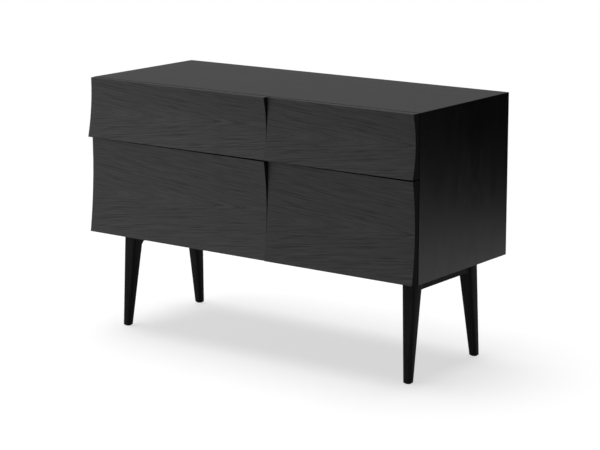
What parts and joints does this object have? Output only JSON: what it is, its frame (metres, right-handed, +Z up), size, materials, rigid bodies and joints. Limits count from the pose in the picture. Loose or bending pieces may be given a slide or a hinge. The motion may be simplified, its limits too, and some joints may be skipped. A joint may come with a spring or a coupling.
{
  "type": "dresser with drawers",
  "caption": "Low dresser on splayed leg trestles, with hollowed overlay fronts on drawers that slide out on side runners.",
  "frame": {"origin": "on the floor, under the centre of the whole dresser's box", "axes": "+X along the width, to the right as seen from the front; +Y from the drawer fronts to the back; +Z up"},
  "size_m": [1.08, 0.4506, 0.712],
  "materials": {
    "top_veneer": "black-stained oak veneer, lacquered satin",
    "case_veneer": "black-stained oak veneer, lacquered matt",
    "front_veneer": "black-stained oak veneer, lacquered matt, grain along the width",
    "base_oak": "solid oak, black-stained and lacquered satin",
    "box_wood": "dark-stained birch, lacquered matt",
    "runner_steel": "zinc-plated steel",
    "glide_plastic": "moulded black nylon"
  },
  "bodies": {
    "cabinet": {"top_panel": "top_veneer", "bottom_panel": "case_veneer", "side_panel_left": "case_veneer", "side_panel_right": "case_veneer", "back_panel": "case_veneer", "centre_divider": "case_veneer", "upper_left_cabinet_runner_left": "runner_steel", "upper_left_cabinet_runner_right": "runner_steel", "upper_right_cabinet_runner_left": "runner_steel", "upper_right_cabinet_runner_right": "runner_steel", "lower_left_cabinet_runner_left": "runner_steel", "lower_left_cabinet_runner_right": "runner_steel", "lower_right_cabinet_runner_left": "runner_steel", "lower_right_cabinet_runner_right": "runner_steel", "leg_front_left": "base_oak", "leg_back_left": "base_oak", "leg_front_right": "base_oak", "leg_back_right": "base_oak", "foot_glide_front_left": "glide_plastic", "foot_glide_back_left": "glide_plastic", "foot_glide_front_right": "glide_plastic", "foot_glide_back_right": "glide_plastic", "trestle_rail_left": "base_oak", "trestle_rail_right": "base_oak"},
    "upper_left_drawer": {"upper_left_drawer_front": "front_veneer", "upper_left_drawer_inner_front": "box_wood", "upper_left_drawer_side_left": "box_wood", "upper_left_drawer_side_right": "box_wood", "upper_left_drawer_back": "box_wood", "upper_left_drawer_bottom": "box_wood", "upper_left_drawer_runner_left": "runner_steel", "upper_left_drawer_runner_right": "runner_steel"},
    "upper_right_drawer": {"upper_right_drawer_front": "front_veneer", "upper_right_drawer_inner_front": "box_wood", "upper_right_drawer_side_left": "box_wood", "upper_right_drawer_side_right": "box_wood", "upper_right_drawer_back": "box_wood", "upper_right_drawer_bottom": "box_wood", "upper_right_drawer_runner_left": "runner_steel", "upper_right_drawer_runner_right": "runner_steel"},
    "lower_left_drawer": {"lower_left_drawer_front": "front_veneer", "lower_left_drawer_inner_front": "box_wood", "lower_left_drawer_side_left": "box_wood", "lower_left_drawer_side_right": "box_wood", "lower_left_drawer_back": "box_wood", "lower_left_drawer_bottom": "box_wood", "lower_left_drawer_runner_left": "runner_steel", "lower_left_drawer_runner_right": "runner_steel"},
    "lower_right_drawer": {"lower_right_drawer_front": "front_veneer", "lower_right_drawer_inner_front": "box_wood", "lower_right_drawer_side_left": "box_wood", "lower_right_drawer_side_right": "box_wood", "lower_right_drawer_back": "box_wood", "lower_right_drawer_bottom": "box_wood", "lower_right_drawer_runner_left": "runner_steel", "lower_right_drawer_runner_right": "runner_steel"}
  },
  "joints": [
    {"name": "upper_left_drawer_slide", "type": "slide", "parent": "cabinet", "child": "upper_left_drawer", "axis": [0, -1, 0], "range_m": [0, 0.27]},
    {"name": "upper_right_drawer_slide", "type": "slide", "parent": "cabinet", "child": "upper_right_drawer", "axis": [0, -1, 0], "range_m": [0, 0.27]},
    {"name": "lower_left_drawer_slide", "type": "slide", "parent": "cabinet", "child": "lower_left_drawer", "axis": [0, -1, 0], "range_m": [0, 0.27]},
    {"name": "lower_right_drawer_slide", "type": "slide", "parent": "cabinet", "child": "lower_right_drawer", "axis": [0, -1, 0], "range_m": [0, 0.27]}
  ]
}
